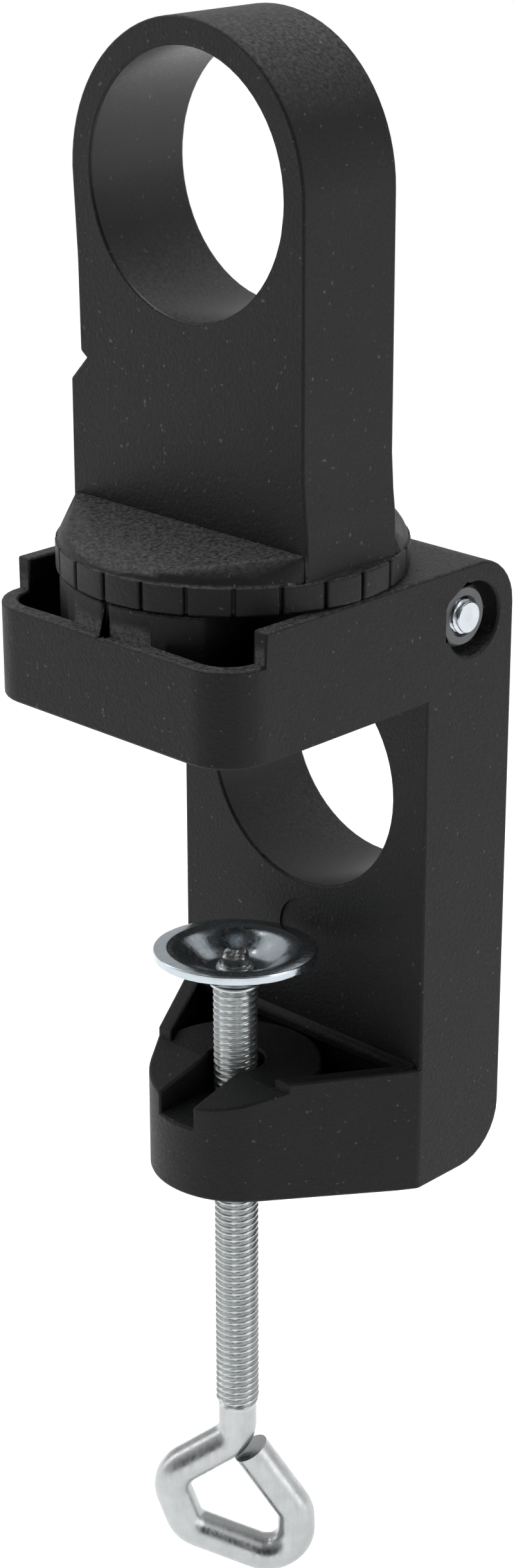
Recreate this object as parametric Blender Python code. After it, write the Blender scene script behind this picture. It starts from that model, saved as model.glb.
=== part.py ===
"""Bench-clamp holder with a swivelling 43 mm collar.

A moulded C-clamp carries an indexed turntable on its upper jaw.  The turntable's upright ends in a ring that
takes a round neck of 43 mm; a second bore of the same size runs through the clamp's spine.  A zinc-plated
screw with a dished plate and a handle bent from its own rod closes the clamp from below.

Frame: metres, +Z up, origin on the bench-rest face under the upper jaw, in the middle of its front pad.
-Y is the open side of the clamp, and +Y its spine.  Outlines are written in millimetres, about the vertical
axis that the turntable and the clamp screw share, and MM turns them into metres.
"""
import math

import bmesh
import bpy
from mathutils import Matrix, Vector

MM = 0.001

# ---- driving dimensions, in millimetres ---------------------------------------------------------------
AXIS_Y = 20.0            # the turntable and screw axis lies this far behind the origin
GAP = 0.3                # clearance between neighbouring pieces

NECK_BORE_R = 21.5       # both bores take a 43 mm neck

# upper jaw and spine
BODY_HALF_W = 29.2
JAW_FRONT_Y = -30.5
JAW_TOP_Z = 22.0
JAW_LIP_Z = 16.5         # lower front wall
JAW_STEP_Y = -22.0       # where the side walls drop to the front wall
JAW_CORNER_R = 8.5
JAW_WALL = 2.9
POCKET_FLOOR_Z = 4.0
SPINE_IN_Y = 16.6
SPINE_OUT_Y = 38.2
SPINE_TOP_R = 8.8
SPINE_FOOT_R = 10.0
SPINE_BORE_Z = -19.5
SPINE_SLIT = 3.0
SEAT_R = 29.1            # fixed round seat under the turntable
SEAT_HALF_W = 17.0       # its front wall stands between the two corner pockets
POCKET_BACK_Y = -11.0
MARK_R = 6.0             # shallow round mould mark on the spine's inner face
MARK_X = 0.9
MARK_Z = -50.3
MARK_DEPTH = 0.3

# lower jaw
FOOT_Z = -92.0
NOSE_LOW_Z = -90.4       # the underside rises a little towards the nose
FOOT_TOP_Z = -68.3
FOOT_WALL = 2.8
FOOT_FLOOR_Z = -86.0
NOSE_R = 15.5
BOSS_R = 15.3            # solid boss around the screw
BOSS_TOP_Z = -70.0
NOSE_FRONT_Z = -73.3     # its front edge slopes down to the notch
NOSE_STEP_Y = -3.5
NOTCH_HALF_W = 4.1
NOTCH_Z = -77.0
NOTCH_END_R = 5.2        # the notch runs back to a round end about the screw
NUT_SEAT_Z = -86.8       # the nut is moulded in below the notch
FOOT_STRIP = 0.9         # small bead along the foot of the spine

# turntable and upright
TABLE_R = 29.5
TABLE_BASE_Z = JAW_TOP_Z + GAP
TABLE_RIM_Z = 27.0
CROWN_TOP_Z = 31.3       # rolls over to the rim from the faces of the upright
CROWN_FLAT_Y = 10.0
CROWN_LEFT, CROWN_RIGHT = -27.2, 26.4
SLOT_COUNT = 24          # one index slot every 15 degrees
SLOT_W = 0.6
SLOT_DEPTH = 0.9
UPRIGHT_HALF_D = 10.5
UPRIGHT_R = 26.0
COLLAR_Z = 86.0
UPRIGHT_LEFT = 25.0      # the left flank above its notch
UPRIGHT_LEFT_LOW = 27.4  # and below it
NOTCH_TOP = 55.8
NOTCH_BOTTOM = 50.8

# fasteners: (thread radius, across flats, nut height)
M6 = (3.0, 10.0, 5.0)
M8 = (4.0, 13.0, 6.5)
SPINE_BOLT_Y = 26.3
SPINE_BOLT_Z = 13.0
SPINE_POCKET = (27.9, 12.3, 6.5)     # centre Y, centre Z and radius of the round nut pocket
SPINE_POCKET_DEPTH = 6.2
TABLE_NUT_Z = 33.0

# clamp screw and plate
PLATE_R = 14.5
PLATE_RIM_Z = -48.5
PLATE_DEPTH = 4.2
PLATE_SHEET = 1.6
THREAD_END_Z = -142.2
ROD_R = 3.55             # blank of a rolled M8 thread
HANDLE_TURN = math.radians(44.5)


# ---- outlines and meshes -------------------------------------------------------------------------------
def arc(cx, cy, radius, start, end, steps):
    """Points of an arc, with angles in degrees; the far point is included."""
    points = []
    for i in range(steps + 1):
        angle = math.radians(start + (end - start) * i / steps)
        points.append((cx + radius * math.cos(angle), cy + radius * math.sin(angle)))
    return points


def circle(cx, cy, radius, steps):
    return arc(cx, cy, radius, 0, 360 * (steps - 1) / steps, steps - 1)


def hexagon(across_flats, turn=0.0):
    corner = across_flats / math.sqrt(3)
    return arc(0, 0, corner, turn, turn + 300, 5)


def box_outline(x0, y0, x1, y1):
    return [(x0, y0), (x1, y0), (x1, y1), (x0, y1)]


def mirrored(half):
    """A full outline from its +X half, which runs from the lowest point of the middle line to the highest."""
    return half + [(-x, y) for x, y in reversed(half) if abs(x) > 1e-6]


def along(axis, u, v, w):
    """A point from its two outline coordinates and its place along the extrusion."""
    place = {"X": (w, u, v), "Y": (u, w, v), "Z": (u, v, w)}[axis]
    return Vector(place) * MM


def add_prism(bm, outline, low, high, axis="Z"):
    """Extrude a closed outline between two levels."""
    verts = [bm.verts.new(along(axis, u, v, low)) for u, v in outline]
    face = bm.faces.new(verts)
    top = bmesh.ops.extrude_face_region(bm, geom=[face])["geom"]
    moved = [item for item in top if isinstance(item, bmesh.types.BMVert)]
    bmesh.ops.translate(bm, verts=moved, vec=along(axis, 0, 0, high - low))


def add_turned(bm, profile, steps, closed=False):
    """Spin an outline of (radius, z) about Z; an open one starts and ends on the axis."""
    verts = [bm.verts.new(Vector((r, 0, z)) * MM) for r, z in profile]
    pairs = list(zip(verts, verts[1:]))
    if closed:
        pairs.append((verts[-1], verts[0]))
    edges = [bm.edges.new(pair) for pair in pairs]
    bmesh.ops.spin(bm, geom=verts + edges, cent=(0, 0, 0), axis=(0, 0, 1), angle=math.tau, steps=steps)
    bmesh.ops.remove_doubles(bm, verts=bm.verts[:], dist=1e-6)


def tube_section(centre, side, normal, radius, steps):
    ring = []
    for i in range(steps):
        angle = math.tau * i / steps
        ring.append((centre + (side * math.cos(angle) + normal * math.sin(angle)) * radius) * MM)
    return ring


def add_sweep(bm, stations, steps):
    """Sweep circles along a path in the XZ plane; a station is (x, z, direction, radius)."""
    normal = Vector((0, 1, 0))
    loops = []
    for x, z, angle, radius in stations:
        side = Vector((-math.sin(angle), 0, math.cos(angle)))
        loops.append([bm.verts.new(p) for p in tube_section(Vector((x, 0, z)), side, normal, radius, steps)])
    bm.faces.new(loops[0])
    bm.faces.new(loops[-1])
    for low, high in zip(loops, loops[1:]):
        for i in range(steps):
            j = (i + 1) % steps
            bm.faces.new((low[i], low[j], high[j], high[i]))


def rounded_path(corners, radius, step_angle):
    """Stations along straight runs joined by arcs; returns (x, z, direction)."""
    path = []
    points = [Vector(c) for c in corners]
    run = (points[1] - points[0]).normalized()
    path.append((points[0].x, points[0].y, math.atan2(run.y, run.x)))
    for before, corner, after in zip(points, points[1:], points[2:]):
        arriving = (corner - before).normalized()
        leaving = (after - corner).normalized()
        turn = arriving.angle_signed(leaving)
        reach = radius * math.tan(abs(turn) / 2)
        start = corner - arriving * reach
        heading = math.atan2(arriving.y, arriving.x)
        spin = -math.copysign(1.0, turn)
        centre = start + Vector((-math.sin(heading), math.cos(heading))) * radius * spin
        count = max(2, math.ceil(abs(turn) / step_angle))
        for i in range(count + 1):
            now = heading + spin * abs(turn) * i / count
            place = centre + Vector((math.sin(now), -math.cos(now))) * radius * spin
            path.append((place.x, place.y, now))
    run = (points[-1] - points[-2]).normalized()
    path.append((points[-1].x, points[-1].y, path[-1][2]))
    return path


# ---- scene objects --------------------------------------------------------------------------------------
def clear_scene():
    for item in list(bpy.data.objects):
        bpy.data.objects.remove(item, do_unlink=True)


def make_material(name, colour, roughness, metallic):
    material = bpy.data.materials.new(name)
    material.use_nodes = True
    shader = material.node_tree.nodes["Principled BSDF"]
    shader.inputs["Base Color"].default_value = (*colour, 1)
    shader.inputs["Roughness"].default_value = roughness
    shader.inputs["Metallic"].default_value = metallic
    material.diffuse_color = (*colour, 1)
    return material


def make_empty(name, location, rotation=(0, 0, 0), parent=None):
    empty = bpy.data.objects.new(name, None)
    empty.location = Vector(location) * MM
    empty.rotation_euler = rotation
    empty.parent = parent
    empty.empty_display_size = 0.01
    bpy.context.scene.collection.objects.link(empty)
    return empty


def make_object(name, build, material, parent, smooth=None):
    """One named object; build fills a bmesh in the parent's frame."""
    mesh = bpy.data.meshes.new(name)
    bm = bmesh.new()
    build(bm)
    bmesh.ops.recalc_face_normals(bm, faces=bm.faces[:])
    bm.to_mesh(mesh)
    bm.free()
    mesh.materials.append(material)
    if smooth is not None:
        mesh.shade_smooth()
        mesh.set_sharp_from_angle(angle=math.radians(smooth))
    item = bpy.data.objects.new(name, mesh)
    item.parent = parent
    bpy.context.scene.collection.objects.link(item)
    return item


def carve(target, name, build, operation="DIFFERENCE"):
    """Give the target a Boolean with a hidden tool body in the same frame."""
    tool = make_object(name, build, target.data.materials[0], target.parent)
    tool.hide_render = True
    tool.display_type = "WIRE"
    step = target.modifiers.new(name, "BOOLEAN")
    step.operation = operation
    step.solver = "EXACT"
    step.object = tool
    return tool


# ---- clamp body -----------------------------------------------------------------------------------------
def jaw_plan():
    """Plan of the upper jaw and spine: rounded front corners, square back."""
    r = JAW_CORNER_R
    half = [(0, JAW_FRONT_Y)]
    half += arc(BODY_HALF_W - r, JAW_FRONT_Y + r, r, -90, 0, 8)
    half += [(BODY_HALF_W, SPINE_OUT_Y + 1), (0, SPINE_OUT_Y + 1)]
    return mirrored(half)


def jaw_side():
    """Side view of the upper jaw and spine, as (y, z)."""
    outline = [(JAW_FRONT_Y - 1, 0), (SPINE_IN_Y, 0), (SPINE_IN_Y, FOOT_Z)]
    outline += arc(SPINE_OUT_Y - SPINE_FOOT_R, FOOT_Z + SPINE_FOOT_R, SPINE_FOOT_R, -90, 0, 8)
    outline += arc(SPINE_OUT_Y - SPINE_TOP_R, JAW_TOP_Z - SPINE_TOP_R, SPINE_TOP_R, 0, 90, 8)
    outline += [(JAW_STEP_Y, JAW_TOP_Z), (JAW_STEP_Y, JAW_LIP_Z), (JAW_FRONT_Y - 1, JAW_LIP_Z)]
    return outline


def pocket_plan(side):
    """Corner pocket that runs back under the turntable; side is -1 or +1."""
    inner_x = BODY_HALF_W - JAW_WALL
    inner_y = JAW_FRONT_Y + JAW_WALL
    r = JAW_CORNER_R - JAW_WALL
    outline = arc(inner_x - r, inner_y + r, r, -90, 0, 6)
    inside = SEAT_HALF_W - 0.5
    outline += [(inner_x, POCKET_BACK_Y), (inside + 3, POCKET_BACK_Y), (inside, POCKET_BACK_Y - 3)]
    outline += [(inside, JAW_STEP_Y + 0.8), (inside / 2, inner_y + 1.5), (inside / 2, inner_y)]
    return [(side * x, y) for x, y in outline]


def seat_plan():
    """Front part of the turntable's seat, between the corner pockets."""
    edge = math.degrees(math.asin(SEAT_HALF_W / SEAT_R))
    return arc(0, 0, SEAT_R, -90 - edge, edge - 90, 24) + [(SEAT_HALF_W, -12), (-SEAT_HALF_W, -12)]


def foot_plan(inset=0.0):
    """Plan of the lower jaw: a round nose about the screw, with straight flanks back to the spine."""
    nose = NOSE_R - inset
    corner = Vector((BODY_HALF_W - inset * 1.25, SPINE_IN_Y))
    reach = corner.length
    lean = math.atan2(corner.y, corner.x) - math.acos(nose / reach)
    half = arc(0, 0, nose, -90, math.degrees(lean), 12)
    half += [(corner.x, corner.y)]
    return half


def foot_outline():
    half = foot_plan() + [(BODY_HALF_W, SPINE_IN_Y + 4), (0, SPINE_IN_Y + 4)]
    return mirrored(half)


def foot_hollow_outline():
    half = foot_plan(FOOT_WALL) + [(0, SPINE_IN_Y)]
    return mirrored(half)


def build_clamp_body(material, parent):
    body = make_object("clamp_body",
                       lambda bm: add_prism(bm, jaw_side(), -BODY_HALF_W - 1, BODY_HALF_W + 1, "X"),
                       material, parent)
    carve(body, "tool_jaw_plan",
          lambda bm: add_prism(bm, jaw_plan(), FOOT_Z - 1, JAW_TOP_Z + 1), "INTERSECT")
    for side in (-1, 1):
        carve(body, f"tool_pocket_{'left' if side < 0 else 'right'}",
              lambda bm, s=side: add_prism(bm, pocket_plan(s), POCKET_FLOOR_Z, JAW_TOP_Z + 1))
    carve(body, "tool_seat",
          lambda bm: add_prism(bm, seat_plan(), POCKET_FLOOR_Z - 1, JAW_TOP_Z), "UNION")

    # lower jaw: outer shape, hollow, then the boss that stands in the hollow and carries the nut
    carve(body, "tool_foot", lambda bm: add_prism(bm, foot_outline(), FOOT_Z, FOOT_TOP_Z), "UNION")
    carve(body, "tool_foot_hollow",
          lambda bm: add_prism(bm, foot_hollow_outline(), FOOT_FLOOR_Z, FOOT_TOP_Z + 1))
    carve(body, "tool_boss",
          lambda bm: add_prism(bm, circle(0, 0, BOSS_R, 48), FOOT_FLOOR_Z - 1, BOSS_TOP_Z), "UNION")
    strip = [(SPINE_IN_Y - FOOT_STRIP, BOSS_TOP_Z - 0.7), (SPINE_IN_Y + 1, BOSS_TOP_Z - 0.7),
             (SPINE_IN_Y + 1, FOOT_TOP_Z + 1 + FOOT_STRIP), (SPINE_IN_Y - FOOT_STRIP, FOOT_TOP_Z - 0.4)]
    carve(body, "tool_foot_strip",
          lambda bm: add_prism(bm, strip, -BODY_HALF_W + 1.5, BODY_HALF_W - 1.5, "X"), "UNION")
    under = [(-NOSE_R - 4, FOOT_Z - 2), (SPINE_IN_Y - 1, FOOT_Z - 2), (SPINE_IN_Y - 1, FOOT_Z - 0.1),
             (-NOSE_R - 4, NOSE_LOW_Z)]
    carve(body, "tool_underside", lambda bm: add_prism(bm, under, -BODY_HALF_W - 1, BODY_HALF_W + 1, "X"))
    nose_cut = [(NOSE_STEP_Y, FOOT_TOP_Z + 2), (NOSE_STEP_Y, BOSS_TOP_Z + 0.1), (-NOSE_R - 1, NOSE_FRONT_Z),
                (-NOSE_R - 1, FOOT_TOP_Z + 2)]
    carve(body, "tool_nose_slope", lambda bm: add_prism(bm, nose_cut, -NOSE_R - 4, NOSE_R + 4, "X"))

    def notch(bm):
        """Slot from the nose back to a round end about the screw."""
        meet = math.degrees(math.acos(NOTCH_HALF_W / NOTCH_END_R))
        outline = [(-NOTCH_HALF_W, -NOSE_R - 1), (NOTCH_HALF_W, -NOSE_R - 1)]
        outline += arc(0, 0, NOTCH_END_R, -meet, 180 + meet, 20)
        add_prism(bm, outline, NOTCH_Z, FOOT_TOP_Z + 1)
    carve(body, "tool_nose_notch", notch)
    thread_r, flats, height = M8
    carve(body, "tool_clamp_nut_pocket",
          lambda bm: add_prism(bm, hexagon(flats + 2 * GAP), NUT_SEAT_Z - GAP, NUT_SEAT_Z + height + GAP))
    carve(body, "tool_screw_hole",
          lambda bm: add_prism(bm, circle(0, 0, thread_r + GAP, 24), FOOT_Z - 1, NOTCH_Z + 1))

    # spine: neck bore, its slit, the mould mark and the bolt that closes the slit
    carve(body, "tool_spine_bore",
          lambda bm: add_prism(bm, circle(0, SPINE_BORE_Z, NECK_BORE_R, 64), SPINE_IN_Y - 1,
                               SPINE_OUT_Y + 1, "Y"))
    slit = box_outline(-SPINE_SLIT / 2, SPINE_BORE_Z, SPINE_SLIT / 2, JAW_TOP_Z + 1)
    carve(body, "tool_spine_slit", lambda bm: add_prism(bm, slit, SPINE_IN_Y - 2, SPINE_OUT_Y + 1, "Y"))
    carve(body, "tool_mould_mark",
          lambda bm: add_prism(bm, circle(MARK_X, MARK_Z, MARK_R, 32), SPINE_IN_Y - 1,
                               SPINE_IN_Y + MARK_DEPTH, "Y"))
    bolt_r = M6[0]
    carve(body, "tool_spine_bolt_hole",
          lambda bm: add_prism(bm, circle(SPINE_BOLT_Y, SPINE_BOLT_Z, bolt_r + GAP, 24),
                               -BODY_HALF_W - 1, BODY_HALF_W + 1, "X"))
    pocket_y, pocket_z, pocket_r = SPINE_POCKET
    carve(body, "tool_spine_pocket",
          lambda bm: add_prism(bm, circle(pocket_y, pocket_z, pocket_r, 40),
                               BODY_HALF_W - SPINE_POCKET_DEPTH, BODY_HALF_W + 1, "X"))
    nut_seat = [(SPINE_BOLT_Y + y, SPINE_BOLT_Z + z) for y, z in hexagon(M6[1] + 2 * GAP, 30)]
    carve(body, "tool_spine_nut_seat",
          lambda bm: add_prism(bm, nut_seat, BODY_HALF_W - SPINE_POCKET_DEPTH, BODY_HALF_W + 1, "X"))

    # turntable bolt: counterbore for its head, and its hole through the deck
    carve(body, "tool_table_counterbore",
          lambda bm: add_prism(bm, circle(0, 0, COUNTERBORE_R, 40), -1, COUNTERBORE_Z))
    carve(body, "tool_table_bolt_hole",
          lambda bm: add_prism(bm, circle(0, 0, M8[0] + GAP, 24), COUNTERBORE_Z - 1, JAW_TOP_Z + 1))
    # index mark: a groove down the front of the seat
    mark = [(-0.6, -SEAT_R - 1.5), (0.6, -SEAT_R - 1.5), (0.6, -SEAT_R + 0.8), (-0.6, -SEAT_R + 0.8)]
    carve(body, "tool_index_mark", lambda bm: add_prism(bm, mark, JAW_LIP_Z - 0.3, JAW_TOP_Z + 1))
    return body


COUNTERBORE_R = 11.0
COUNTERBORE_Z = 10.5


# ---- swivel collar --------------------------------------------------------------------------------------
# levels of the crown as (height, radius, reach in Y): convex from the upright down to the rim
CROWN_LEVELS = [(TABLE_RIM_Z - 0.4, 29.2, 29.2), (27.7, 29.0, 28.8), (28.6, 28.6, 27.4), (29.5, 28.0, 25.1),
                (30.3, 27.3, 21.8), (30.9, 26.6, 17.8)]


def add_crown(bm):
    """A convex hood between the faces of the upright and the round rim."""
    for z, radius, reach in CROWN_LEVELS:
        half = math.degrees(math.asin(min(1.0, reach / radius)))
        right = math.degrees(math.acos(min(1.0, CROWN_RIGHT / radius)))
        for x, y in arc(0, 0, radius, right, half, 12) + arc(0, 0, radius, 180 - half, 180, 12):
            for side in (-1, 1):
                bm.verts.new(Vector((x, side * y, z)) * MM)
    for x in (CROWN_LEFT, CROWN_RIGHT):
        for y in (-CROWN_FLAT_Y, CROWN_FLAT_Y):
            bm.verts.new(Vector((x, y, CROWN_TOP_Z)) * MM)
    bmesh.ops.remove_doubles(bm, verts=bm.verts[:], dist=1e-5)
    hull = bmesh.ops.convex_hull(bm, input=bm.verts[:])
    loose = [v for v in hull["geom_interior"] + hull["geom_unused"] if isinstance(v, bmesh.types.BMVert)]
    bmesh.ops.delete(bm, geom=list(set(loose)), context="VERTS")


def upright_outline():
    """Front view of the upright as (x, z); the left flank has a V-shaped notch."""
    foot = TABLE_RIM_Z - 0.2
    outline = [(-27.4, foot), (27.0, foot), (26.9, 34.0), (26.4, 38.0), (UPRIGHT_R, 44.0)]
    outline += arc(0, COLLAR_Z, UPRIGHT_R, 0, 180, 40)
    outline += [(-UPRIGHT_LEFT - 0.2, 71.0), (-UPRIGHT_LEFT, NOTCH_TOP), (-23.7, 54.8),
                (-UPRIGHT_LEFT_LOW, NOTCH_BOTTOM), (-UPRIGHT_LEFT_LOW, 31.8)]
    return outline


def build_swivel_collar(material, parent):
    collar = make_object("swivel_collar", add_crown, material, parent)
    carve(collar, "tool_table_disc",
          lambda bm: add_prism(bm, circle(0, 0, TABLE_R, 96), TABLE_BASE_Z, TABLE_RIM_Z), "UNION")
    carve(collar, "tool_upright",
          lambda bm: add_prism(bm, upright_outline(), -UPRIGHT_HALF_D, UPRIGHT_HALF_D, "Y"), "UNION")
    carve(collar, "tool_neck_bore",
          lambda bm: add_prism(bm, circle(0, COLLAR_Z, NECK_BORE_R, 64), -UPRIGHT_HALF_D - 1,
                               UPRIGHT_HALF_D + 1, "Y"))

    def slots(bm):
        for i in range(SLOT_COUNT):
            turn = Matrix.Rotation(math.tau * i / SLOT_COUNT, 4, "Z")
            before = len(bm.verts)
            add_prism(bm, box_outline(TABLE_R - SLOT_DEPTH, -SLOT_W / 2, TABLE_R + 1, SLOT_W / 2),
                      TABLE_BASE_Z - 1, TABLE_RIM_Z)
            bm.verts.ensure_lookup_table()
            bmesh.ops.transform(bm, matrix=turn, verts=bm.verts[before:])
    carve(collar, "tool_index_slots", slots)

    # bolt hole from below, and a slot from the back for the nut
    carve(collar, "tool_collar_bolt_hole",
          lambda bm: add_prism(bm, circle(0, 0, M8[0] + GAP, 24), TABLE_BASE_Z - 1, TABLE_BOLT_TIP_Z + 1))
    half = M8[1] / 2 + GAP
    nut_slot = [(half, UPRIGHT_HALF_D + 1), (-half, UPRIGHT_HALF_D + 1)]
    nut_slot += [(-half, -half / math.sqrt(3)), (0, -2 * half / math.sqrt(3)), (half, -half / math.sqrt(3))]
    carve(collar, "tool_collar_nut_slot",
          lambda bm: add_prism(bm, nut_slot, TABLE_NUT_Z - GAP, TABLE_NUT_Z + M8[2] + GAP))
    return collar


TABLE_BOLT_TIP_Z = 42.0


# ---- fasteners ------------------------------------------------------------------------------------------
def add_nut(bm, size, base, turn=0.0):
    """A nut from its base upwards; its bore clears the thread by GAP."""
    thread_r, flats, height = size
    inside = circle(0, 0, thread_r + GAP, 24)
    add_ring_prism(bm, hexagon(flats, turn), inside, base, base + height)


def add_ring_prism(bm, outside, inside, low, high):
    """A prism with a hole: two outlines bridged at both levels."""
    loops = []
    for level in (low, high):
        for outline in (outside, inside):
            loops.append([bm.verts.new(along("Z", u, v, level)) for u, v in outline])
    edges = []
    for loop in loops:
        edges.append([bm.edges.new((loop[i], loop[(i + 1) % len(loop)])) for i in range(len(loop))])
    for first, second in ((0, 1), (2, 3), (0, 2), (1, 3)):
        bmesh.ops.bridge_loops(bm, edges=edges[first] + edges[second])


def hex_bolt_profile(head_r, head_h, shank_r, length):
    """Head below z = 0 and shank above it, as (radius, z)."""
    return [(0, -head_h), (head_r, -head_h), (head_r, 0), (shank_r, 0), (shank_r, length - 0.8),
            (shank_r - 0.7, length), (0, length)]


def make_hex_bolt(name, size, head_h, length, material, parent, head_turn=0.0):
    """Hex-head bolt along +Z, with the head's bearing face at z = 0."""
    shank_r, flats, _ = size
    bolt = make_object(name, lambda bm: add_turned(bm, hex_bolt_profile(flats, head_h, shank_r, length), 24),
                       material, parent, 35)
    carve(bolt, f"tool_{name}_head",
          lambda bm: add_prism(bm, hexagon(flats, head_turn), -head_h - 1, length + 1), "INTERSECT")
    return bolt


def washer(bm, inner, outer, low, high, steps=32):
    add_turned(bm, [(inner, low), (outer, low), (outer, high), (inner, high)], steps, closed=True)


# ---- clamp screw and plate ------------------------------------------------------------------------------
PLATE_FLOOR_Z = PLATE_RIM_Z - PLATE_DEPTH
SHOULDER_Z = PLATE_FLOOR_Z - PLATE_SHEET - GAP
STUB_R = 3.0


def plate_profile():
    """Dished plate as a closed (radius, z) loop: flat rim, conical wall and flat floor."""
    top = [(STUB_R + 0.5, PLATE_FLOOR_Z), (7.0, PLATE_FLOOR_Z), (12.2, PLATE_RIM_Z), (PLATE_R, PLATE_RIM_Z)]
    under = [(PLATE_R, PLATE_RIM_Z - 1.9), (12.9, PLATE_RIM_Z - 1.9), (7.6, PLATE_FLOOR_Z - PLATE_SHEET),
             (STUB_R + 0.5, PLATE_FLOOR_Z - PLATE_SHEET)]
    return top + under


def screw_stations():
    """Stub, riveted collar, thread, rod and handle as one sweep, from the top down."""
    down = -math.pi / 2
    thread_r = M8[0]
    rivet_low = PLATE_FLOOR_Z + GAP
    upright = [(PLATE_RIM_Z - 0.5, STUB_R - 0.5), (PLATE_RIM_Z - 0.9, STUB_R),
               (rivet_low + 1.0, STUB_R), (rivet_low + 0.8, STUB_R + 1.2), (rivet_low, STUB_R + 1.2),
               (rivet_low, STUB_R), (SHOULDER_Z, STUB_R), (SHOULDER_Z, thread_r),
               (THREAD_END_Z, thread_r), (THREAD_END_Z - 0.6, ROD_R)]
    stations = [(0, z, down, radius) for z, radius in upright]
    corners = [(0, THREAD_END_Z - 1.0), (0, -149.4), (-13.4, -157.9), (-9.6, -169.4), (11.3, -178.8),
               (11.0, -166.0), (2.4, -152.4)]
    for x, z, heading in rounded_path(corners, 5.6, math.radians(16)):
        stations.append((x, z, heading, ROD_R))
    return stations


# ---- assembly -------------------------------------------------------------------------------------------
def main():
    clear_scene()
    plastic = make_material("black_plastic", (0.018, 0.018, 0.019), 0.55, 0.0)
    turned_plastic = make_material("collar_plastic", (0.019, 0.019, 0.020), 0.52, 0.0)
    zinc = make_material("zinc_steel", (0.60, 0.62, 0.64), 0.32, 1.0)
    bolt_steel = make_material("bolt_steel", (0.55, 0.56, 0.57), 0.38, 1.0)

    clamp_axis = make_empty("clamp_axis", (0, AXIS_Y, 0))
    swivel_axis = make_empty("swivel_axis", (0, 0, 0), parent=clamp_axis)
    screw_axis = make_empty("screw_axis", (0, 0, 0), (0, 0, HANDLE_TURN), parent=clamp_axis)

    build_clamp_body(plastic, clamp_axis)
    build_swivel_collar(turned_plastic, swivel_axis)

    # turntable: bolt from below, disc spring and washer under its head, nut held in the upright
    washer_top = COUNTERBORE_Z - GAP
    make_object("table_washer", lambda bm: washer(bm, M8[0] + GAP, 8.4, washer_top - 1.6, washer_top),
                bolt_steel, clamp_axis, 35)
    spring_top = washer_top - 1.6 - GAP
    spring = [(M8[0] + GAP, spring_top - 0.9), (7.9, spring_top - 1.6), (7.9, spring_top - 0.8),
              (M8[0] + GAP, spring_top)]
    make_object("table_disc_spring", lambda bm: add_turned(bm, spring, 32, closed=True),
                bolt_steel, clamp_axis, 35)
    head_z = spring_top - 1.6 - GAP
    bolt_axis = make_empty("table_bolt_axis", (0, 0, head_z), parent=clamp_axis)
    make_hex_bolt("table_bolt", M8, 5.3, TABLE_BOLT_TIP_Z - head_z, bolt_steel, bolt_axis)
    make_object("table_nut", lambda bm: add_nut(bm, M8, TABLE_NUT_Z, 30), bolt_steel, swivel_axis)

    # spine: bolt from the left with a washer, nut in the pocket on the right
    left_face = make_empty("spine_bolt_axis", (-BODY_HALF_W - 1.6 - 2 * GAP, SPINE_BOLT_Y, SPINE_BOLT_Z),
                           (0, math.pi / 2, 0), parent=clamp_axis)
    make_hex_bolt("spine_bolt", M6, 4.0, 2 * BODY_HALF_W + 1.6 + 2 * GAP + 0.3, bolt_steel, left_face)
    make_object("spine_washer", lambda bm: washer(bm, M6[0] + GAP, 6.2, GAP, GAP + 1.6), bolt_steel,
                left_face, 35)
    nut_seat = make_empty("spine_nut_seat", (BODY_HALF_W - SPINE_POCKET_DEPTH + GAP, SPINE_BOLT_Y,
                                             SPINE_BOLT_Z), (0, math.pi / 2, 0), parent=clamp_axis)
    make_object("spine_nut", lambda bm: add_nut(bm, M6, 0.0), bolt_steel, nut_seat)

    # clamp screw, its nut in the lower jaw, and the plate that turns on its stub
    make_object("clamp_nut", lambda bm: add_nut(bm, M8, NUT_SEAT_Z), bolt_steel, clamp_axis)
    make_object("clamp_screw", lambda bm: add_sweep(bm, screw_stations(), 20), zinc, screw_axis, 35)
    make_object("pressure_plate", lambda bm: add_turned(bm, plate_profile(), 56, closed=True), zinc,
                clamp_axis, 35)


main()
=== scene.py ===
"""Studio scene of the bench-clamp holder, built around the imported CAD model."""
import math

import bmesh
import bpy
from mathutils import Matrix, Vector, noise


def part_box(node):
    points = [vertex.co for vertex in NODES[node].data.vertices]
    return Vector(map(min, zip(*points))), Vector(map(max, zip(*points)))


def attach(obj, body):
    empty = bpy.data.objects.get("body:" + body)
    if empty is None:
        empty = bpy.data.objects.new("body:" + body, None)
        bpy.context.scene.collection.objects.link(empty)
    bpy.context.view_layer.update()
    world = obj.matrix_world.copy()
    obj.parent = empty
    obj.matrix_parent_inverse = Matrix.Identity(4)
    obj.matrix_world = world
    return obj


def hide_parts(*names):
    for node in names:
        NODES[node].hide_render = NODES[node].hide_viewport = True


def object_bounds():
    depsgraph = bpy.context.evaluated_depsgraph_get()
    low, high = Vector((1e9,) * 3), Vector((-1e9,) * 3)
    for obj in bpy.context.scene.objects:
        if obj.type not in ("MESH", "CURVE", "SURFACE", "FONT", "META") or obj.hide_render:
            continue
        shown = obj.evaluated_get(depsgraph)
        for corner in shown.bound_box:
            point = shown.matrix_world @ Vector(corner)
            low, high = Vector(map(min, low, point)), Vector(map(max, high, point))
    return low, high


MM = 0.001
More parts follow.
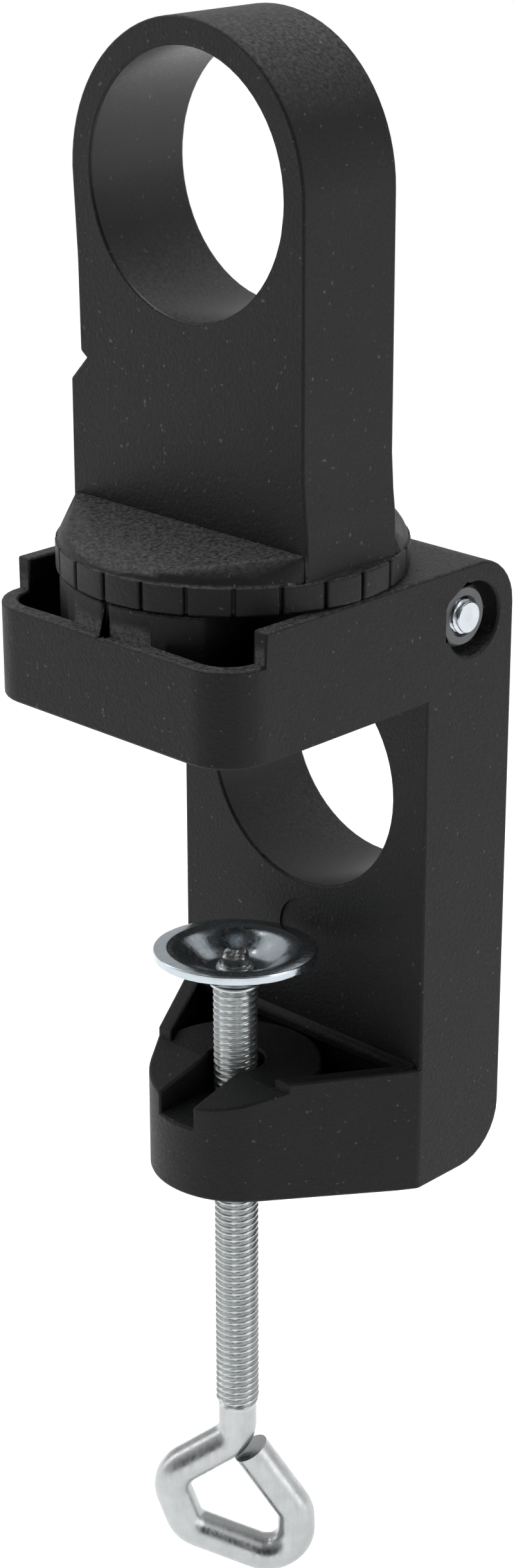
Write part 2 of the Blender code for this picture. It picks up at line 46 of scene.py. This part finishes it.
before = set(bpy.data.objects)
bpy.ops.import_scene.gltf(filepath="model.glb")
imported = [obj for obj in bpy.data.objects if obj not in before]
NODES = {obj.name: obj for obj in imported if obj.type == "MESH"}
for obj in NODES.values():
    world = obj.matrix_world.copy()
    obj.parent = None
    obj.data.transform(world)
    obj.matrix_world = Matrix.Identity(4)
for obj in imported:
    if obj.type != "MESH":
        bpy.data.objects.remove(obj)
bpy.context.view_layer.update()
# driving dimensions in millimetres, in the frame's own coordinates
AXIS_Y = 20.0            # the turntable and screw axis lies this far behind the origin
NECK_BORE_R = 21.5       # both bores
SPINE_BORE_Z = -19.5
COLLAR_Z = 86.0
SPINE_BOLT_Y = 26.3      # behind the axis
SPINE_BOLT_Z = 13.0
PLATE_R = 14.5
PLATE_RIM = -48.5
PLATE_FLOOR = PLATE_RIM - 4.2
THREAD_END = -142.2      # the threaded part of the screw ends here, above the handle
ROD_R = 3.5
HANDLE_TURN = math.radians(44.5)
PLATE_TILT = math.radians(-4.2)   # the plate hangs loose on its rivet and leans a little
LEAN_AXIS = Vector((math.cos(math.radians(38)), math.sin(math.radians(38)), 0))
FLOOR_DROP = 13.6        # the handle comes this much lower when the screw is backed out


# ---- materials ------------------------------------------------------------------------------------------
def new_material(name, roughness, metallic=0.0, colour=(0.5, 0.5, 0.5)):
    material = bpy.data.materials.new(name)
    material.use_nodes = True
    shader = material.node_tree.nodes["Principled BSDF"]
    shader.inputs["Base Color"].default_value = (*colour, 1)
    shader.inputs["Roughness"].default_value = roughness
    shader.inputs["Metallic"].default_value = metallic
    return material, material.node_tree, shader


def node(tree, kind, **values):
    made = tree.nodes.new(kind)
    for key, value in values.items():
        if key in made.inputs:
            made.inputs[key].default_value = value
        else:
            setattr(made, key, value)
    return made


def coordinates(tree, scale=(1, 1, 1)):
    """Object coordinates in millimetres, stretched by a scale."""
    texture = node(tree, "ShaderNodeTexCoord")
    mapping = node(tree, "ShaderNodeMapping")
    mapping.inputs["Scale"].default_value = [1000 * s for s in scale]
    tree.links.new(texture.outputs["Object"], mapping.inputs["Vector"])
    return mapping.outputs["Vector"]


def noise_node(tree, vector, scale, detail=2.0, rough=0.5):
    made = node(tree, "ShaderNodeTexNoise", Scale=scale, Detail=detail, Roughness=rough)
    tree.links.new(vector, made.inputs["Vector"])
    return made.outputs["Fac"]


def ramp(tree, factor, stops):
    made = node(tree, "ShaderNodeValToRGB")
    elements = made.color_ramp.elements
    while len(elements) < len(stops):
        elements.new(0.5)
    for element, (place, value) in zip(elements, stops):
        element.position = place
        colour = value if isinstance(value, tuple) else (value, value, value)
        element.color = (*colour, 1)
    tree.links.new(factor, made.inputs["Fac"])
    return made.outputs["Color"]


def bump(tree, shader, height, strength, distance):
    made = node(tree, "ShaderNodeBump", Strength=strength, Distance=distance)
    tree.links.new(height, made.inputs["Height"])
    tree.links.new(made.outputs["Normal"], shader.inputs["Normal"])


def plastic(name, tone, roughness, grain, specular, top_light_tone):
    """Black moulded plastic with a fine eroded texture, pale dust specks and painted light on up-facing
    faces.
    """
    material, tree, shader = new_material(name, roughness)
    shader.inputs["Specular IOR Level"].default_value = specular
    place = coordinates(tree)
    cloud = noise_node(tree, place, 0.07, 4.0, 0.55)
    fine = noise_node(tree, place, 1.5, 4.0, 0.7)
    speck = noise_node(tree, place, 1.1, 1.0, 0.4)
    base = ramp(tree, cloud, [(0.3, tuple(0.86 * c for c in tone)), (0.7, tuple(1.14 * c for c in tone))])
    dust = ramp(tree, speck, [(0.72, 0.0), (0.80, 0.06)])
    mix = node(tree, "ShaderNodeMix", data_type="RGBA", blend_type="ADD")
    mix.inputs[0].default_value = 1.0
    tree.links.new(base, mix.inputs[6])
    tree.links.new(dust, mix.inputs[7])
    normal = node(tree, "ShaderNodeSeparateXYZ")
    tree.links.new(node(tree, "ShaderNodeNewGeometry").outputs["Normal"], normal.inputs[0])
    # painted top light: faces turned up get a speckled lightening of the base colour, as light from above
    # would give
    facing_up = ramp(tree, normal.outputs["Z"], [(0.45, 0.0), (0.9, 1.0)])
    painted_top_light = ramp(tree, fine, [(0.36, 0.004), (0.66, top_light_tone)])
    top_lit_colour = node(tree, "ShaderNodeMix", data_type="RGBA", blend_type="ADD")
    height = node(tree, "ShaderNodeSeparateXYZ")
    tree.links.new(node(tree, "ShaderNodeTexCoord").outputs["Object"], height.inputs[0])
    upper = node(tree, "ShaderNodeMapRange")
    # painted shade: the painted top light is whole above -30 mm and fades to a share of 0.12 below -60 mm,
    # where the clamp shades its lower parts
    for socket, value in zip(upper.inputs[1:5], (-0.060, -0.030, 0.12, 1.0)):
        socket.default_value = value
    tree.links.new(height.outputs["Z"], upper.inputs[0])
    share = node(tree, "ShaderNodeMath", operation="MULTIPLY")
    tree.links.new(facing_up, share.inputs[0])
    tree.links.new(upper.outputs[0], share.inputs[1])
    tree.links.new(share.outputs[0], top_lit_colour.inputs[0])
    tree.links.new(mix.outputs[2], top_lit_colour.inputs[6])
    tree.links.new(painted_top_light, top_lit_colour.inputs[7])
    tree.links.new(top_lit_colour.outputs[2], shader.inputs["Base Color"])
    rough = ramp(tree, fine, [(0.25, roughness - 0.07), (0.75, roughness + 0.09)])
    tree.links.new(rough, shader.inputs["Roughness"])
    bump(tree, shader, fine, grain, 0.00022)
    return material


def zinc(name, tone, roughness, stretch, streak):
    """Zinc-plated steel: faint cloudy plating with drawn or turned streaks."""
    material, tree, shader = new_material(name, roughness, 1.0, tone)
    lines = noise_node(tree, coordinates(tree, stretch), 1.0, 3.0, 0.6)
    cloud = noise_node(tree, coordinates(tree), 0.35, 3.0, 0.5)
    tint = ramp(tree, cloud, [(0.3, tuple(0.88 * c for c in tone)), (0.7, tone)])
    tree.links.new(tint, shader.inputs["Base Color"])
    rough = ramp(tree, lines, [(0.3, roughness - 0.06), (0.72, roughness + streak)])
    tree.links.new(rough, shader.inputs["Roughness"])
    bump(tree, shader, lines, 0.12, 0.00008)
    return material


# the last figure of each plastic is the tone of its painted top light
BODY_PLASTIC = plastic("moulded_black", (0.0078, 0.0078, 0.0080), 0.50, 0.85, 0.20, 0.090)
COLLAR_PLASTIC = plastic("moulded_black_collar", (0.0084, 0.0084, 0.0086), 0.47, 0.70, 0.20, 0.085)
BORE_PLASTIC = plastic("smooth_black_bore", (0.0090, 0.0090, 0.0093), 0.30, 0.08, 0.36, 0.070)
ROD_ZINC = zinc("zinc_rod", (0.50, 0.515, 0.52), 0.27, (1.3, 1.3, 0.12), 0.16)
THREAD_ZINC = zinc("zinc_thread", (0.58, 0.60, 0.60), 0.32, (0.8, 0.8, 1.6), 0.12)
PLATE_ZINC = zinc("zinc_plate", (0.54, 0.60, 0.64), 0.18, (1.2, 1.2, 1.2), 0.12)
# painted shade: the spine nut is given near-black zinc, for the shade it sits in
NUT_SHADED_ZINC = zinc("zinc_nut_painted_shade", (0.11, 0.115, 0.12), 0.34, (1.5, 1.5, 1.5), 0.12)
BOLT_ZINC = zinc("zinc_bolt", (0.60, 0.64, 0.68), 0.26, (1.5, 1.5, 1.5), 0.12)


# ---- mesh helpers ---------------------------------------------------------------------------------------
def add_piece(name, bm, material, body, replaced=(), smooth=35, place=Matrix()):
    mesh = bpy.data.meshes.new(name)
    bm.transform(place)
    bmesh.ops.recalc_face_normals(bm, faces=bm.faces[:])
    bm.to_mesh(mesh)
    bm.free()
    mesh.shade_smooth()
    mesh.set_sharp_from_angle(angle=math.radians(smooth))
    mesh.materials.append(material)
    piece = bpy.data.objects.new(name, mesh)
    bpy.context.scene.collection.objects.link(piece)
    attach(piece, body)
    if replaced:
        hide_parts(*replaced)
    return piece


def soften(name, source, width, material, body):
    """A copy of a CAD node with its flat faces rejoined and its edges rounded."""
    bm = bmesh.new()
    bm.from_mesh(NODES[source].data)
    bmesh.ops.remove_doubles(bm, verts=bm.verts[:], dist=1e-6)
    bmesh.ops.dissolve_degenerate(bm, edges=bm.edges[:], dist=2e-5)
    bmesh.ops.dissolve_limit(bm, angle_limit=math.radians(0.6), verts=bm.verts[:], edges=bm.edges[:])
    weight = bm.edges.layers.float.new("bevel_weight_edge")
    for edge in bm.edges:
        if len(edge.link_faces) != 2 or edge.calc_face_angle_signed() < math.radians(32):
            continue
        narrow = min(face.calc_area() / face.calc_perimeter() for face in edge.link_faces)
        edge[weight] = 1.0 if narrow > 0.6 * width * MM else 0.0
    piece = add_piece(name, bm, material, body, (source,), 30)
    bevel = piece.modifiers.new("edge_radius", "BEVEL")
    bevel.width = width * MM
    bevel.segments = 2
    bevel.limit_method = "WEIGHT"
    bevel.use_clamp_overlap = False
    level = piece.modifiers.new("flat_faces", "WEIGHTED_NORMAL")
    level.keep_sharp = True
    level.weight = 90
    return piece


def turned(bm, profile, steps):
    """Lathe an outline of (radius, z) in millimetres about Z; the outline is closed on the axis."""
    rings = []
    for radius, z in profile:
        if radius < 1e-6:
            rings.append([bm.verts.new((0, 0, z * MM))])
            continue
        ring = []
        for i in range(steps):
            angle = math.tau * i / steps
            ring.append(bm.verts.new((radius * math.cos(angle) * MM, radius * math.sin(angle) * MM, z * MM)))
        rings.append(ring)
    for low, high in zip(rings, rings[1:]):
        for i in range(steps):
            j = (i + 1) % steps
            corners = [low[i % len(low)], low[j % len(low)], high[j % len(high)], high[i % len(high)]]
            unique = list(dict.fromkeys(corners))
            if len(unique) > 2:
                bm.faces.new(unique)
    return rings


def fillet(points, radius, steps=4):
    """Round the inner corners of an open (r, z) outline."""
    result = [points[0]]
    for before, corner, after in zip(points, points[1:], points[2:]):
        a, b, c = Vector(before), Vector(corner), Vector(after)
        reach = min(radius, (a - b).length * 0.45, (c - b).length * 0.45)
        start = b + (a - b).normalized() * reach
        end = b + (c - b).normalized() * reach
        for i in range(steps + 1):
            t = i / steps
            result.append(tuple(start * (1 - t) ** 2 + b * 2 * t * (1 - t) + end * t ** 2))
    result.append(points[-1])
    return result


def rounded_path(corners, radius, step_angle):
    """Stations along straight runs joined by arcs; returns (x, z, heading)."""
    points = [Vector(c) for c in corners]
    run = (points[1] - points[0]).normalized()
    path = [(points[0].x, points[0].y, math.atan2(run.y, run.x))]
    for before, corner, after in zip(points, points[1:], points[2:]):
        arriving = (corner - before).normalized()
        leaving = (after - corner).normalized()
        turn = arriving.angle_signed(leaving)
        reach = radius * math.tan(abs(turn) / 2)
        start = corner - arriving * reach
        heading = math.atan2(arriving.y, arriving.x)
        spin = -math.copysign(1.0, turn)
        centre = start + Vector((-math.sin(heading), math.cos(heading))) * radius * spin
        count = max(4, math.ceil(abs(turn) / step_angle))
        for i in range(count + 1):
            now = heading + spin * abs(turn) * i / count
            place = centre + Vector((math.sin(now), -math.cos(now))) * radius * spin
            path.append((place.x, place.y, now))
    path.append((points[-1].x, points[-1].y, path[-1][2]))
    return path


def thread_radius(turn, crest, root):
    """Radius of a rolled thread at a phase of 0 to 1, with rounded crests and roots."""
    wave = 0.5 + 0.5 * math.cos(math.tau * turn)
    wave = min(1.0, max(0.0, (wave - 0.12) / 0.76))
    return root + (crest - root) * wave


def threaded_rings(bm, low, high, pitch, crest, root, steps, taper=1.5):
    """A threaded rod between two heights, as stacked rings whose radius follows the helix."""
    count = round((high - low) / pitch * 8)
    rings = []
    for k in range(count + 1):
        z = low + (high - low) * k / count
        fade = min(1.0, (z - low) / taper, (high - z) / taper)
        ring = []
        for i in range(steps):
            angle = math.tau * i / steps
            full = thread_radius(z / pitch - i / steps, crest, root)
            radius = (full * fade + (root + 0.3 * (crest - root)) * (1 - fade)) * MM
            ring.append(bm.verts.new((radius * math.cos(angle), radius * math.sin(angle), z * MM)))
        rings.append(ring)
    bridge(bm, rings, steps)
    return rings


def bridge(bm, rings, steps):
    for low, high in zip(rings, rings[1:]):
        for i in range(steps):
            j = (i + 1) % steps
            bm.faces.new((low[i], low[j], high[j], high[i]))


AXIS = Matrix.Translation((0, AXIS_Y * MM, 0))

# ---- plastic bodies -------------------------------------------------------------------------------------
body_shell = soften("body_moulding", "clamp_body", 0.45, BODY_PLASTIC, "clamp")
collar_shell = soften("collar_moulding", "swivel_collar", 0.4, COLLAR_PLASTIC, "collar")


def paint_bore(piece, material, centre_z, radius):
    """Give the wall of a round bore along Y the smooth finish that its core pin leaves."""
    piece.data.materials.append(material)
    for face in piece.data.polygons:
        middle = face.center
        off = math.hypot(middle.x, middle.z - centre_z * MM)
        if abs(face.normal.y) < 0.2 and abs(off - radius * MM) < 0.35 * MM:
            face.material_index = 1


paint_bore(body_shell, BORE_PLASTIC, SPINE_BORE_Z, NECK_BORE_R)
paint_bore(collar_shell, BORE_PLASTIC, COLLAR_Z, NECK_BORE_R)

# ---- clamp screw ----------------------------------------------------------------------------------------
SCREW_STEPS = 40
THREAD_PITCH = 1.25
THREAD_CREST = 3.97
THREAD_ROOT = 3.22
HANDLE_CORNERS = [(0, -143.0), (0, -149.4), (-13.4, -157.9), (-9.6, -169.4), (11.3, -178.8), (11.0, -166.0),
                  (2.4, -152.4)]      # centre line of the bent rod, as (across, height)
HANDLE_BEND_R = 5.6


def build_screw():
    bm = bmesh.new()
    rings = threaded_rings(bm, THREAD_END, PLATE_FLOOR - 1.9, THREAD_PITCH, THREAD_CREST, THREAD_ROOT,
                           SCREW_STEPS)
    bm.faces.new(rings[-1])
    lowest = rings[0]
    last = lowest
    for x, z, heading in rounded_path(HANDLE_CORNERS, HANDLE_BEND_R, math.radians(5)):
        across = Vector((-math.sin(heading), 0, math.cos(heading))) * ROD_R
        outward = Vector((0, ROD_R, 0))
        middle = Vector((x, 0, z))
        ring = []
        for i in range(SCREW_STEPS):
            angle = math.tau * i / SCREW_STEPS
            ring.append(bm.verts.new((middle + across * math.cos(angle) + outward * math.sin(angle)) * MM))
        if last is lowest:
            # start this ring at the same angle as the thread's, so that the join does not twist
            best = min(range(SCREW_STEPS), key=lambda s: (ring[s].co - lowest[0].co).length)
            forward = (ring[(best + 1) % SCREW_STEPS].co - lowest[1].co).length
            backward = (ring[best - 1].co - lowest[1].co).length
            step = 1 if forward < backward else -1
            order = [(best + step * s) % SCREW_STEPS for s in range(SCREW_STEPS)]
        ring = [ring[s] for s in order]
        for i in range(SCREW_STEPS):
            j = (i + 1) % SCREW_STEPS
            bm.faces.new((last[i], last[j], ring[j], ring[i]))
        last = ring
    bm.faces.new(last)
    # upset shoulder under the plate
    shoulder = [(0, PLATE_FLOOR - 1.95), (4.6, PLATE_FLOOR - 1.95), (4.6, PLATE_FLOOR - 2.6),
                (0, PLATE_FLOOR - 2.6)]
    turned(bm, fillet(shoulder, 0.25), 32)
    return add_piece("screw_rod", bm, ROD_ZINC, "screw", ("clamp_screw",), 40,
                     AXIS @ Matrix.Rotation(HANDLE_TURN, 4, "Z"))


screw = build_screw()
screw.data.materials.append(THREAD_ZINC)
for face in screw.data.polygons:
    if face.center.z > THREAD_END * MM:
        face.material_index = 1


def build_rivet():
    """Peened end of the screw: a low collar on the dish floor and a cross-staked stub."""
    bm = bmesh.new()
    profile = fillet([(0, PLATE_FLOOR - 1.8), (3.0, PLATE_FLOOR - 1.8), (3.0, PLATE_FLOOR + 0.4),
                      (3.5, PLATE_FLOOR + 0.45), (3.3, PLATE_FLOOR + 1.1), (2.6, PLATE_FLOOR + 1.5),
                      (2.45, PLATE_RIM - 1.3), (1.9, PLATE_RIM - 0.8), (0.6, PLATE_RIM - 0.75),
                      (0, PLATE_RIM - 1.2)], 0.25)
    rings = turned(bm, profile, 48)
    for ring in rings:
        for vert in ring:
            if vert.co.z > (PLATE_FLOOR + 1.4) * MM:
                angle = math.atan2(vert.co.y, vert.co.x)
                lobe = math.cos(4 * angle + 0.6)
                vert.co.xy *= 1 + 0.07 * lobe
                vert.co.z += 0.15 * MM * lobe * min(1.0, vert.co.xy.length / (2 * MM))
    return add_piece("screw_rivet", bm, ROD_ZINC, "screw", (), 40, AXIS)


build_rivet()


def build_plate():
    """The dished plate, with a rim that is a little uneven where it was punched out."""
    bm = bmesh.new()
    bowl = [(3.6, PLATE_FLOOR + 0.05)]
    for i in range(1, 15):
        t = i / 14
        bowl.append((3.6 + 8.1 * t, PLATE_FLOOR + 0.05 + 4.0 * (0.5 - 0.5 * math.cos(math.pi * t ** 1.25))))
    rim = fillet([(11.7, PLATE_RIM - 0.15), (12.2, PLATE_RIM), (PLATE_R, PLATE_RIM),
                  (PLATE_R, PLATE_RIM - 1.7), (12.2, PLATE_RIM - 1.8)], 0.35, 3)
    under = [(r, z - 1.75) for r, z in reversed(bowl)]
    turned(bm, bowl + rim + under + [bowl[0]], 96)
    bmesh.ops.remove_doubles(bm, verts=bm.verts[:], dist=1e-6)
    for vert in bm.verts:
        if vert.co.xy.length > 13.6 * MM:
            angle = math.atan2(vert.co.y, vert.co.x)
            place = Vector((math.cos(angle) * 9, math.sin(angle) * 9, vert.co.z * 900))
            vert.co.z += 0.05 * MM * noise.noise(place * 1.3)
    lean = Matrix.Translation((0, 0, PLATE_FLOOR * MM)) @ Matrix.Rotation(PLATE_TILT, 4, LEAN_AXIS)
    lean = lean @ Matrix.Translation((0, 0, -PLATE_FLOOR * MM))
    return add_piece("plate_dish", bm, PLATE_ZINC, "plate", ("pressure_plate",), 50,
                     AXIS @ lean)


build_plate()


# ---- fasteners ------------------------------------------------------------------------------------------
M6_FLATS = 10.0


def hex_cut(bm, flats, turn=0.0):
    """Trim a turned blank to a hexagon, which leaves the rounded chamfer that real heads have."""
    for i in range(6):
        angle = turn + math.tau * (i + 0.5) / 6
        normal = Vector((math.cos(angle), math.sin(angle), 0))
        geometry = bm.verts[:] + bm.edges[:] + bm.faces[:]
        cut = bmesh.ops.bisect_plane(bm, geom=geometry, plane_co=normal * flats / 2 * MM, plane_no=normal,
                                     clear_outer=True)
        edges = [item for item in cut["geom_cut"] if isinstance(item, bmesh.types.BMEdge)]
        bmesh.ops.holes_fill(bm, edges=edges, sides=0)


def along_spine_bolt(name):
    """Where a piece on the spine bolt's axis starts, with its Z pointing to the right, and its length."""
    lower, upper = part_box(name)
    start = Matrix.Translation((lower[0], (AXIS_Y + SPINE_BOLT_Y) * MM, SPINE_BOLT_Z * MM))
    return start @ Matrix.Rotation(math.pi / 2, 4, "Y"), (upper[0] - lower[0]) / MM


def build_spine_bolt():
    left, length = along_spine_bolt("spine_bolt")
    head = bmesh.new()
    turned(head, fillet([(0, 0), (4.7, 0), (5.8, 0.75), (5.8, 4.0), (0, 4.0)], 0.12, 2), 48)
    hex_cut(head, M6_FLATS)
    add_piece("spine_bolt_head", head, BOLT_ZINC, "spine_bolt", ("spine_bolt",), 28, left)
    shank = bmesh.new()
    rings = threaded_rings(shank, 3.9, length, 1.0, 2.97, 2.42, 32, 0.7)
    shank.faces.new(rings[0])
    shank.faces.new(rings[-1])
    add_piece("spine_bolt_thread", shank, BOLT_ZINC, "spine_bolt", (), 40, left)


build_spine_bolt()


def build_spine_nut():
    base, height = along_spine_bolt("spine_nut")
    bm = bmesh.new()
    outline = [(3.3, 0), (4.9, 0), (5.8, 0.6), (5.8, height - 0.6), (4.9, height), (3.6, height),
               (3.1, height - 0.5), (3.1, 0.5), (3.3, 0)]
    turned(bm, outline, 48)
    bmesh.ops.remove_doubles(bm, verts=bm.verts[:], dist=1e-6)
    hex_cut(bm, M6_FLATS, math.pi / 6)
    add_piece("spine_nut_hex", bm, NUT_SHADED_ZINC, "clamp", ("spine_nut",), 28, base)


build_spine_nut()

for name in ("table_bolt", "table_nut", "table_washer", "table_disc_spring", "clamp_nut", "spine_washer"):
    NODES[name].data.materials.clear()
    NODES[name].data.materials.append(BOLT_ZINC)

# ---- studio ---------------------------------------------------------------------------------------------
def build_floor():
    mesh = bpy.data.meshes.new("studio_floor")
    size = 6.0
    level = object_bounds()[0][2] - FLOOR_DROP * MM
    mesh.from_pydata([(-size, -size, level), (size, -size, level), (size, size, level), (-size, size, level)],
                     [], [(0, 1, 2, 3)])
    floor = bpy.data.objects.new("studio_floor", mesh)
    bpy.context.scene.collection.objects.link(floor)
    material, _, shader = new_material("floor_white", 0.9, 0.0, (0.93, 0.93, 0.93))
    shader.inputs["Specular IOR Level"].default_value = 0.0
    shader.inputs["Emission Color"].default_value = (1, 1, 1, 1)
    shader.inputs["Emission Strength"].default_value = 0.55
    mesh.materials.append(material)


build_floor()


def add_area(name, place, aim, size, power):
    light = bpy.data.lights.new(name, "AREA")
    light.shape = "RECTANGLE"
    light.size = size[0]
    light.size_y = size[1]
    light.energy = power
    lamp = bpy.data.objects.new(name, light)
    lamp.location = place
    direction = Vector(aim) - Vector(place)
    lamp.rotation_euler = direction.to_track_quat("-Z", "Y").to_euler()
    bpy.context.scene.collection.objects.link(lamp)


LIGHT_AIM = (0, AXIS_Y * MM, 0)
add_area("key_overhead", (-0.20, -0.10, 1.0), LIGHT_AIM, (0.6, 0.6), 4.5)
add_area("side_right", (1.0, 0.35, 0.25), LIGHT_AIM, (0.6, 0.9), 3.0)
add_area("side_left", (-0.85, -0.45, 0.35), LIGHT_AIM, (0.35, 0.9), 1.7)


def build_world():
    """White behind the object; light and reflections see pale walls with a dark doorway at the right."""
    world = bpy.data.worlds.new("studio")
    world.use_nodes = True
    tree = world.node_tree
    background = tree.nodes["Background"]
    where = node(tree, "ShaderNodeTexCoord")
    split = node(tree, "ShaderNodeSeparateXYZ")
    tree.links.new(where.outputs["Generated"], split.inputs[0])
    glow = ramp(tree, split.outputs["Z"], [(0.0, 0.60), (0.35, 0.50), (0.8, 0.60)])
    facing = node(tree, "ShaderNodeVectorMath", operation="DOT_PRODUCT")
    tree.links.new(where.outputs["Generated"], facing.inputs[0])
    facing.inputs[1].default_value = (0.68, -0.69, 0.24)
    shade = ramp(tree, facing.outputs["Value"], [(0.35, 1.0), (0.92, 0.10)])
    dim = node(tree, "ShaderNodeMix", data_type="RGBA", blend_type="MULTIPLY")
    dim.inputs[0].default_value = 1.0
    tree.links.new(glow, dim.inputs[6])
    tree.links.new(shade, dim.inputs[7])
    path = node(tree, "ShaderNodeLightPath")
    mix = node(tree, "ShaderNodeMix", data_type="RGBA")
    tree.links.new(path.outputs["Is Camera Ray"], mix.inputs[0])
    tree.links.new(dim.outputs[2], mix.inputs[6])
    mix.inputs[7].default_value = (1, 1, 1, 1)
    tree.links.new(mix.outputs[2], background.inputs["Color"])
    background.inputs["Strength"].default_value = 1.0
    bpy.context.scene.world = world


build_world()
bpy.context.scene.view_settings.view_transform = "Standard"

# ---- camera ---------------------------------------------------------------------------------------------
VIEW_AZIMUTH = math.radians(44.44)
VIEW_HEIGHT = math.radians(21.79)
VIEW_ROLL = math.radians(-0.145)
VIEW_TARGET = Vector((0, AXIS_Y, -20))
VIEW_DISTANCE = 507.225
VIEW_SLIDE = (3.906, 2.255)
back = Vector((math.sin(VIEW_AZIMUTH) * math.cos(VIEW_HEIGHT),
               -math.cos(VIEW_AZIMUTH) * math.cos(VIEW_HEIGHT),
               math.sin(VIEW_HEIGHT)))
level_right = Vector((math.cos(VIEW_AZIMUTH), math.sin(VIEW_AZIMUTH), 0))
level_up = back.cross(level_right)
right = level_right * math.cos(VIEW_ROLL) + level_up * math.sin(VIEW_ROLL)
up = level_up * math.cos(VIEW_ROLL) - level_right * math.sin(VIEW_ROLL)
spot = VIEW_TARGET + back * VIEW_DISTANCE + right * VIEW_SLIDE[0] + up * VIEW_SLIDE[1]

camera_data = bpy.data.cameras.new("camera")
camera_data.sensor_fit = "VERTICAL"
camera_data.sensor_height = 24.0
camera_data.lens = 45.17
camera_data.clip_start = 0.01
camera_data.clip_end = 50.0
camera = bpy.data.objects.new("camera", camera_data)
rotation = Matrix((right, up, back)).transposed().to_4x4()
camera.matrix_world = Matrix.Translation(spot * MM) @ rotation
bpy.context.scene.collection.objects.link(camera)
bpy.context.scene.camera = camera

bpy.context.view_layer.update()
